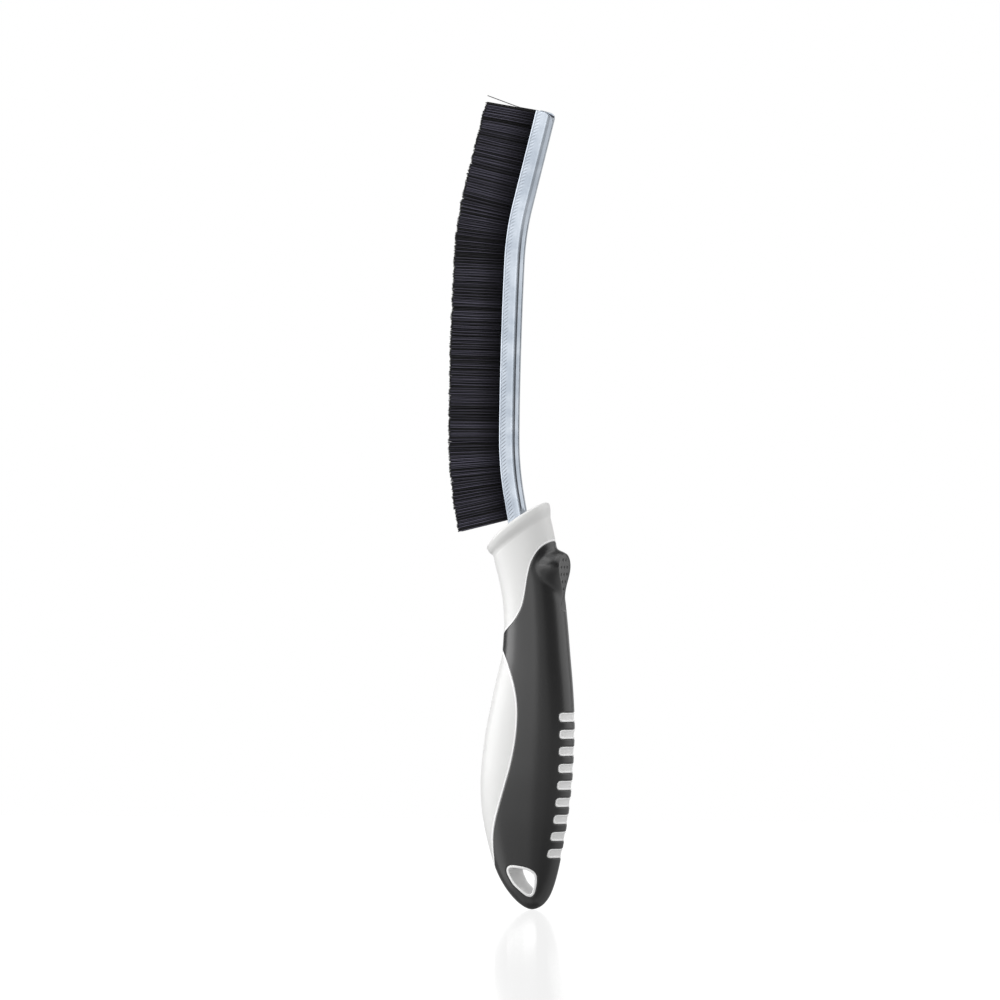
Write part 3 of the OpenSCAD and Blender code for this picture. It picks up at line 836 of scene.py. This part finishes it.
# The ribs' faces are sunk a little inside a border. They are the core's points near a rib's
# outline and far from the collar's and the belly's.
on_rib = np.zeros(len(skin_uv), bool)
on_rib[np.unique(skin_tris[skin_region == 1])] = True
on_rib &= (skin_uv[:, 0] < 0) & (rib_gap < GAP_LIMIT) & (gaps[:2] > OFF_BELT).all(0)
core_depth = rounded(part_gap, WHITE_EDGE_R)
core_depth = np.maximum(core_depth, rounded(bore_gap, BORE_EDGE_R))
core_depth += np.where(on_rib, RIB_SINK * ease(rib_gap, *RIB_BORDER), 0.0)


def split_body(skin_points, skin_faces, deep_depth):
    """The near half of a piece: faces on the skin, faces deep below it, and walls of quads
    between the two along the parting lines."""
    deep_points = handle_surface(*from_plane(deep_uv), deep_depth)
    n = len(skin_points)
    walls = []
    for k in range(HOLE_LINE):
        a, b = (loop_of(row, edge_sets[k][1]) for row in (skin_lines[k], n + deep_lines[k]))
        walls.append(np.stack([a[:-1], a[1:], b[1:], b[:-1]], -1))
    deep_faces = n + deep_tris[deep_region == 0]
    return np.vstack([skin_points, deep_points]), [skin_faces, deep_faces, *walls]


def both_sides(points, faces):
    """A half and its mirror image, with points that coincide made one, and which of the half's
    points each is. A quad left with a side of no length is split, a triangle with one dropped."""
    n = len(points)
    points = np.vstack([points, points * [1, -1, 1]])
    faces = [np.vstack([f, n + f[:, ::-1]]) for f in faces]
    _, first, number = np.unique(
        np.round(points / 1e-4).astype(np.int64), axis=0, return_index=True, return_inverse=True
    )
    number = number.ravel()
    whole = []
    for f in faces:
        f = number[f]
        pinched = (f == np.roll(f, -1, 1)).any(1)
        if f.shape[1] == 4:
            split = np.vstack([f[pinched][:, [0, 1, 2]], f[pinched][:, [0, 2, 3]]])
            whole.append(split[(split != np.roll(split, -1, 1)).all(1)])
        whole.append(f[~pinched])
    return points[first], whole, first % n


# The rim is a roll round the collar's sloping mouth, and a shallow dish inside it. Its middle,
# its slope, and how far it reaches along the slope and across
RIM_X, RIM_Z, RIM_SLOPE = -4.24, 125.34, np.radians(35.3)
RIM_REACH, RIM_HALF = 13.75, 10.1
# Height over the rim's middle, and inset at the front, at the back and across, from the neck
# up over the roll and into the dish
RIM_ROLL = [
    [-4.3, 0.15, 2.0, 1.2], [-3.7, 0.38, 1.75, 1.14], [-3.1, 0.5, 1.35, 0.98],
    [-2.6, 0.4, 1.0, 0.74], [-2.1, 0.2, 0.66, 0.48], [-1.6, 0.05, 0.34, 0.26],
    [-1.1, 0.0, 0.02, 0.1], [-0.5, 0.0, -0.22, 0.02], [0.1, 0.02, -0.42, 0.0],
    [0.6, 0.1, -0.55, 0.07], [1.05, 0.38, -0.42, 0.33], [1.4, 0.88, 0.15, 0.85],
    [1.5, 1.4, 1.0, 1.4], [1.38, 1.95, 1.8, 1.95], [1.0, 2.45, 2.45, 2.45],
    [0.4, 2.95, 2.95, 2.95], [-0.1, 3.7, 3.7, 3.7], [-0.35, 4.8, 4.8, 4.8], [-0.4, 7.0, 7.0, 7.0],
]
# What is left of the roll's height at the back edge and at the front, and how much of its
# inset is given back at the back edge, which makes the roll sharper there
RIM_BACK, RIM_FRONT = 0.9, 0.3
RIM_SHARP, RIM_SHARP_MOST = 0.8, 1.4
NECK_STATIONS = (NECK, 0.88)
RING_STEPS = 5
rings = []
for t in NECK_STATIONS:
    middle, along, reach, half = section(t)
    rings.append([*middle, *along, reach, half, 0, 0])
rim_along = np.array([np.cos(RIM_SLOPE), np.sin(RIM_SLOPE)])
rim_up = np.array([-np.sin(RIM_SLOPE), np.cos(RIM_SLOPE)])
for height, at_front, at_back, across in RIM_ROLL:
    middle = np.array([RIM_X, RIM_Z]) + rim_up * height + rim_along * (at_front - at_back) / 2
    reach = RIM_REACH - (at_front + at_back) / 2
    given_back = np.clip(at_back, 0, RIM_SHARP_MOST) if height > 0 else 0
    rings.append([*middle, *rim_along, reach, RIM_HALF - across, max(height, 0), given_back])
rings = curve(rings, np.linspace(0, len(rings) - 1, RING_STEPS * (len(rings) - 1) + 1))[:, None]
angle = np.linspace(0, np.pi, RIM_COLUMNS + 1)[None]
rim_xz = rings[..., :2] + rings[..., 2:4] * (rings[..., 4] * np.cos(angle))[..., None]
lower = np.cos(angle) ** 2 * np.where(angle < np.pi / 2, 1 - RIM_BACK, 1 - RIM_FRONT)
rim_xz -= rim_up * rings[..., 6:7] * lower[..., None]
rim_xz += rim_along * (rings[..., 7] * RIM_SHARP * np.maximum(np.cos(angle), 0) ** 3)[..., None]
rim_points = np.stack([rim_xz[..., 0], -rings[..., 5] * np.sin(angle), rim_xz[..., 1]], -1)
rim_faces = grid_faces(*rim_points.shape[:2], closed=False)
last = (rim_points.shape[0] - 1) * (RIM_COLUMNS + 1)
column = np.arange(RIM_COLUMNS)
rim_cap = np.stack([last + column, last + column + 1, 0 * column + last + RIM_COLUMNS + 1], -1)
rim_middle = np.array([[rings[-1, 0, 0], 0.0, rings[-1, 0, 1]]])

core_points = handle_surface(*from_plane(skin_uv), core_depth)
points, faces = split_body(core_points, skin_tris[skin_region == 1], SKIN)
rim_start = len(points)
points = np.vstack([points, rim_points.reshape(-1, 3), rim_middle])
faces += [rim_start + rim_faces, rim_start + rim_cap]

# The hang hole's wall runs straight through from its rounded edge
WALL_ROWS = 8
edge = core_points[loop_of(skin_lines[HOLE_LINE])]
fall = np.linspace(1, 0, WALL_ROWS + 1)
wall = edge * [1, 0, 1] + edge * [0, 1, 0] * fall[:, None, None]
faces.append(len(points) + grid_faces(WALL_ROWS + 1, len(edge), closed=False))
points = np.vstack([points, wall.reshape(-1, 3)])

# How much painted light whitens the core: a painted highlight along every edge that the grip
# meets, and painted light at part strength over the ribs and on the hang hole's wall
HIGHLIGHT_FADE, RIB_AND_HOLE_LIGHT = (0.45, 0.75), 0.55
painted_light = np.zeros(len(points))
edge_highlight = 1 - ease(np.minimum(part_gap, bore_gap), *HIGHLIGHT_FADE)
painted_light[:len(skin_uv)] = np.maximum(edge_highlight, RIB_AND_HOLE_LIGHT * on_rib)
painted_light[-wall.size // 3:] = RIB_AND_HOLE_LIGHT
points, faces, kept = both_sides(points, faces)

# Injection-moulded polypropylene, white: a satin skin from the polished mould, which keeps
# soft broad highlights, and whiter where the attribute shade paints highlights and light on it.
white_pp, shader = new_material("moulded_white_polypropylene", Roughness=0.36, IOR=1.49)
tone = add_node(white_pp, "ShaderNodeAttribute", attribute_name="shade")
ramp = add_node(white_pp, "ShaderNodeValToRGB", {"Fac": tone.outputs["Fac"]})
ramp.color_ramp.elements[0].color = linear("#DFDFDE")
ramp.color_ramp.elements[1].color = linear("#FFFFFF")
white_pp.node_tree.links.new(ramp.outputs["Color"], shader.inputs["Base Color"])
core = add_piece("white_moulding", points, faces, white_pp, "handle_core", painted_light[kept])
face_outwards(core)

# Grip
# Soft thermoplastic rubber moulded over the core, 2 mm thick and flush with it, up to the
# thin grooves along its edges. It swells into the thumb rest with its dimpled pad.
GRIP_EDGE_R = 0.42
GROOVE, GROOVE_TO = 0.1, 0.5
GRIP_DEPTH = 1.95
THUMB_X = 9.0
THUMB_SQUARE = 2.3
THUMB = [
    [117.5, 0.6, 0.5], [117.25, 2.2, 1.6], [116.9, 3.4, 2.8], [116.3, 4.7, 4.2], [115.3, 5.7, 5.8],
    [114.0, 6.3, 7.2], [112.4, 6.6, 8.1], [110.6, 6.5, 8.3], [108.6, 6.0, 7.7], [106.6, 5.4, 6.6],
    [104.4, 4.9, 5.1], [102.5, 4.6, 3.9], [100.5, 4.4, 2.8], [98.5, 4.2, 1.6],
]
PAD_X, PAD_Z, PAD_LEAN = 13.65, 112.0, np.radians(2.2)
PAD_SINK, PAD_BORDER = 0.22, 0.55
DIMPLE_ROWS = [2, 3, 3, 2, 1]
DIMPLE_STEP, DIMPLE_ROW_STEP, DIMPLE_TOP = 3.0, 2.6, 1.7
DIMPLE_WALL, DIMPLE_DEPTH = (0.32, 0.74), 0.5
# The swelling is looked for from SWELL_LOW to SWELL_HIGH over the skin. CREASE eases it into
# the handle, with a shallow MOAT round it, SWELL_FADE ends it at the collar's edge, and
# PAD_EDGE eases the pad's rim.
SWELL_LOW, SWELL_HIGH, SWELL_STEPS = -3.0, 9.0, 241
CREASE, MOAT, MOAT_INNER = 1.2, 0.4, -0.6
FILLET_TURNS = 50
SWELL_FADE = (0.2, 2.0)
PAD_EDGE, PAD_FADE = 0.25, 0.35
NEAR_PAD = 0.3

thumb_curve = curve(THUMB, np.linspace(0, len(THUMB) - 1, 400))


def thumb_field(p):
    """Below 1 inside the thumb rest's swelling, whose level sections are squared ellipses:
    (|x| / reach)^n + (|y| / half)^n, to the power 1 / n."""
    reach, half = (
        np.interp(-p[..., 2], -thumb_curve[:, 0], size, left=1e-3, right=1e-3)
        for size in thumb_curve[:, 1:].T
    )
    across, beside = np.abs(p[..., 0] - THUMB_X) / reach, np.abs(p[..., 1]) / half
    return (across**THUMB_SQUARE + beside**THUMB_SQUARE) ** (1 / THUMB_SQUARE)


def smooth_max(a, b, k):
    """The greater of two, eased over k where they cross."""
    h = np.maximum(k - np.abs(a - b), 0) / k
    return np.maximum(a, b) + h * h * k / 4


grip_depth = rounded(part_gap, GRIP_EDGE_R) + GROOVE * (1 - ease(part_gap, 0, GROOVE_TO))
t, angle = from_plane(skin_uv)
grip_points = handle_surface(t, angle, grip_depth)
zone = np.flatnonzero(in_thumb_zone(skin_uv))
shell = handle_surface(t[zone], angle[zone], 0)
_, along, reach, half = section(t[zone])
slope = np.stack([np.cos(angle[zone]) / reach, np.sin(angle[zone]) / half], -1)
slope /= norm(slope, axis=-1, keepdims=True)
normal = np.stack([along[:, 0] * slope[:, 0], -slope[:, 1], along[:, 1] * slope[:, 0]], -1)
reach_out = np.linspace(SWELL_LOW, SWELL_HIGH, SWELL_STEPS)
field = thumb_field(shell[:, None] + normal[:, None] * reach_out[None, :, None])
inside = field < 1
last_in = inside.shape[1] - 1 - np.argmax(inside[:, ::-1], axis=1)
row = np.arange(len(zone))
after = np.minimum(last_in + 1, inside.shape[1] - 1)
f = np.clip((1 - field[row, last_in]) / (field[row, after] - field[row, last_in] + 1e-9), 0, 1)
found = reach_out[last_in] + f * (reach_out[1] - reach_out[0])
swell = np.where(inside.any(1), found, SWELL_LOW)
swell = smooth_max(swell, -MOAT * ease(swell, SWELL_LOW, MOAT_INNER), CREASE)

# The mould's soft fillet round the swelling: each point takes the mean of its neighbours'
# heights, over and over, which widens the crease at every turn
place_in_zone = np.full(len(skin_uv), -1)
place_in_zone[zone] = np.arange(len(zone))
sides = [skin_tris[:, pair] for pair in ([0, 1], [1, 2], [2, 0])]
links = place_in_zone[np.vstack(sides)]
links = links[(links >= 0).all(1)]
links = np.vstack([links, links[:, ::-1]])
neighbours = np.bincount(links[:, 0], minlength=len(zone)) + 1
for _ in range(FILLET_TURNS):
    swell = (swell + np.bincount(links[:, 0], swell[links[:, 1]], len(zone))) / neighbours

pad_normal = np.array([np.cos(PAD_LEAN), 0, -np.sin(PAD_LEAN)])
pad_up = np.array([np.sin(PAD_LEAN), 0, np.cos(PAD_LEAN)])
pad_middle = np.array([PAD_X, 0, PAD_Z])
to_pad = ((pad_middle - shell) @ pad_normal) / np.maximum(normal @ pad_normal, 0.05)
swell = -smooth_max(-swell, -to_pad, PAD_EDGE)
swell *= ease(gaps[0][zone], *SWELL_FADE)
raised = shell + normal * swell[:, None]
off_pad = (raised - pad_middle) @ pad_normal
on_pad = raised - off_pad[:, None] * pad_normal
# The way in from the pad's outline: the field's distance from 1 over its slope
inner_by = 1 - thumb_field(on_pad)
step = 0.02
climb = np.hypot(thumb_field(on_pad + step * pad_up) - 1 + inner_by,
                 thumb_field(on_pad + [0, step, 0]) - 1 + inner_by) / step
pad_gap = inner_by / np.maximum(climb, 0.02)
flat = np.abs(off_pad) < NEAR_PAD
sink = np.where(flat, PAD_SINK * ease(pad_gap, PAD_BORDER, PAD_BORDER + PAD_FADE), 0)
for k, count in enumerate(DIMPLE_ROWS):
    for i in range(count):
        off = raised - pad_middle - pad_up * (DIMPLE_TOP - k * DIMPLE_ROW_STEP)
        gap = np.hypot(off @ pad_up, off[:, 1] - (i - (count - 1) / 2) * DIMPLE_STEP)
        sink += np.where(flat, DIMPLE_DEPTH * (1 - ease(gap, *DIMPLE_WALL)), 0)
raised -= sink[:, None] * pad_normal
grip_points[zone] = raised - normal * grip_depth[zone][:, None]

points, faces = split_body(grip_points, skin_tris[skin_region == 0], GRIP_DEPTH)
points, faces, _ = both_sides(points, faces)

# Thermoplastic rubber, charcoal black, moulded in a finely etched cavity: satin, with soft
# wide highlights broken up by a fine grain.
rubber, shader = new_material(
    "etched_black_thermoplastic_rubber", Base_Color=linear("#111112"), Roughness=0.31, IOR=1.66
)
ETCH, ETCH_DEPTH = 0.35, 0.05
place = add_node(rubber, "ShaderNodeTexCoord")
grain = add_node(
    rubber, "ShaderNodeTexNoise", {"Vector": place.outputs["Object"]},
    Scale=1 / (ETCH * MM), Detail=2.0,
)
bump = add_node(
    rubber, "ShaderNodeBump", {"Height": grain.outputs["Fac"]},
    Strength=0.25, Distance=ETCH_DEPTH * MM,
)
rubber.node_tree.links.new(bump.outputs["Normal"], shader.inputs["Normal"])
grip = add_piece("soft_grip", points, faces, rubber, "grip")
face_outwards(grip)

# Studio
# A pale floor with a faint reflection and a white surround, both brighter to the camera than
# to the brush, and soft lights at the left, the right, the back and above.
FLOOR_Z = -11.2
FLOOR_HALF = 1.3
# The floor's glow as the camera sees it, and as it lights the brush, which grows to the right
# between two places in metres
FLOOR_SEEN, FLOOR_LEFT, FLOOR_RIGHT = 0.88, 0.24, 0.75
FLOOR_LEFT_X, FLOOR_RIGHT_X = 0.05, 0.5
SURROUND_SEEN, SURROUND_LIGHT = 1.0, 0.14
LIGHT_WAY, LIGHT_AIM = 1500, 130
CAMERA_AZIMUTH = np.radians(20)
CAMERA_WAY = 5000.0
FRAME_WIDTH = 357.6
SENSOR_WIDTH = 36
SHIFT_RIGHT, SHIFT_UP = -10.4, 135.2

scene = bpy.context.scene
scene.view_settings.view_transform = "Standard"
world = bpy.data.worlds.new("studio")
scene.world = world
world.use_nodes = True
ray = add_node(world, "ShaderNodeLightPath")
level = add_node(
    world, "ShaderNodeMapRange", {"Value": ray.outputs["Is Camera Ray"]},
    To_Min=SURROUND_LIGHT, To_Max=SURROUND_SEEN,
)
background = world.node_tree.nodes["Background"]
background.inputs["Color"].default_value = (1, 1, 1, 1)
world.node_tree.links.new(level.outputs["Result"], background.inputs["Strength"])

mesh = bpy.data.meshes.new("floor")
sides = (-1, -1), (1, -1), (1, 1), (-1, 1)
corners = [(x * FLOOR_HALF, y * FLOOR_HALF, FLOOR_Z * MM) for x, y in sides]
mesh.from_pydata(corners, [], [(0, 1, 2, 3)])
floor = bpy.data.objects.new("floor", mesh)
scene.collection.objects.link(floor)
floor_material = bpy.data.materials.new("white_floor")
floor_material.use_nodes = True
floor_material.node_tree.nodes.clear()
place = add_node(floor_material, "ShaderNodeTexCoord")
place = add_node(floor_material, "ShaderNodeSeparateXYZ", {"Vector": place.outputs["Object"]})
light = add_node(
    floor_material, "ShaderNodeMapRange", {"Value": place.outputs["X"]},
    From_Min=FLOOR_LEFT_X, From_Max=FLOOR_RIGHT_X, To_Min=FLOOR_LEFT, To_Max=FLOOR_RIGHT,
)
ray = add_node(floor_material, "ShaderNodeLightPath")
level = add_node(
    floor_material, "ShaderNodeMapRange",
    {"Value": ray.outputs["Is Camera Ray"], "To Min": light.outputs["Result"]}, To_Max=FLOOR_SEEN,
)
glow = add_node(floor_material, "ShaderNodeEmission", {"Strength": level.outputs["Result"]})
shine = add_node(
    floor_material, "ShaderNodeBsdfGlossy", Roughness=0.08, Color=(0.28, 0.28, 0.28, 1)
)
both = add_node(
    floor_material, "ShaderNodeAddShader", {0: glow.outputs[0], 1: shine.outputs[0]}
)
add_node(floor_material, "ShaderNodeOutputMaterial", {"Surface": both.outputs[0]})
mesh.materials.append(floor_material)


def soft_light(name, azimuth, elevation, width, height, power):
    """An area light on a sphere round the brush, turned to face its middle."""
    a, e = np.radians(azimuth), np.radians(elevation)
    toward = Vector((np.sin(a) * np.cos(e), -np.cos(a) * np.cos(e), np.sin(e)))
    light = bpy.data.lights.new(name, "AREA")
    light.shape = "RECTANGLE"
    light.size, light.size_y, light.energy = width * MM, height * MM, power
    lamp = bpy.data.objects.new(name, light)
    lamp.location = (toward * LIGHT_WAY + Vector((0, 0, LIGHT_AIM))) * MM
    lamp.rotation_euler = toward.to_track_quat("Z", "Y").to_euler()
    scene.collection.objects.link(lamp)


# Azimuth from the front towards the right, elevation, breadth and height in mm, and watts
soft_light("left_wall", -80, 4, 1090, 1300, 14.5)
soft_light("high_key", -50, 48, 1900, 1500, 14.5)
soft_light("front", -24, 4, 2100, 1300, 12.2)
soft_light("front_right", 20, 4, 1000, 1300, 1.9)
soft_light("right", 118, 4, 1500, 1300, 7.4)
soft_light("high_right", 110, 52, 1900, 1500, 11.0)
soft_light("overhead", 0, 85, 1100, 1100, 4.0)
soft_light("back", 190, 4, 2000, 1300, 5.5)

# The photograph's view, from 20 degrees round and so far off that it is all but parallel
right = Vector((np.cos(CAMERA_AZIMUTH), np.sin(CAMERA_AZIMUTH), 0))
back_way = Vector((np.sin(CAMERA_AZIMUTH), -np.cos(CAMERA_AZIMUTH), 0))
camera = bpy.data.objects.new("camera", bpy.data.cameras.new("camera"))
camera.location = (right * SHIFT_RIGHT + back_way * CAMERA_WAY + Vector((0, 0, SHIFT_UP))) * MM
camera.rotation_euler = back_way.to_track_quat("Z", "Y").to_euler()
camera.data.lens = SENSOR_WIDTH * CAMERA_WAY / FRAME_WIDTH
camera.data.clip_start, camera.data.clip_end = 0.5, 40
scene.collection.objects.link(camera)
scene.camera = camera
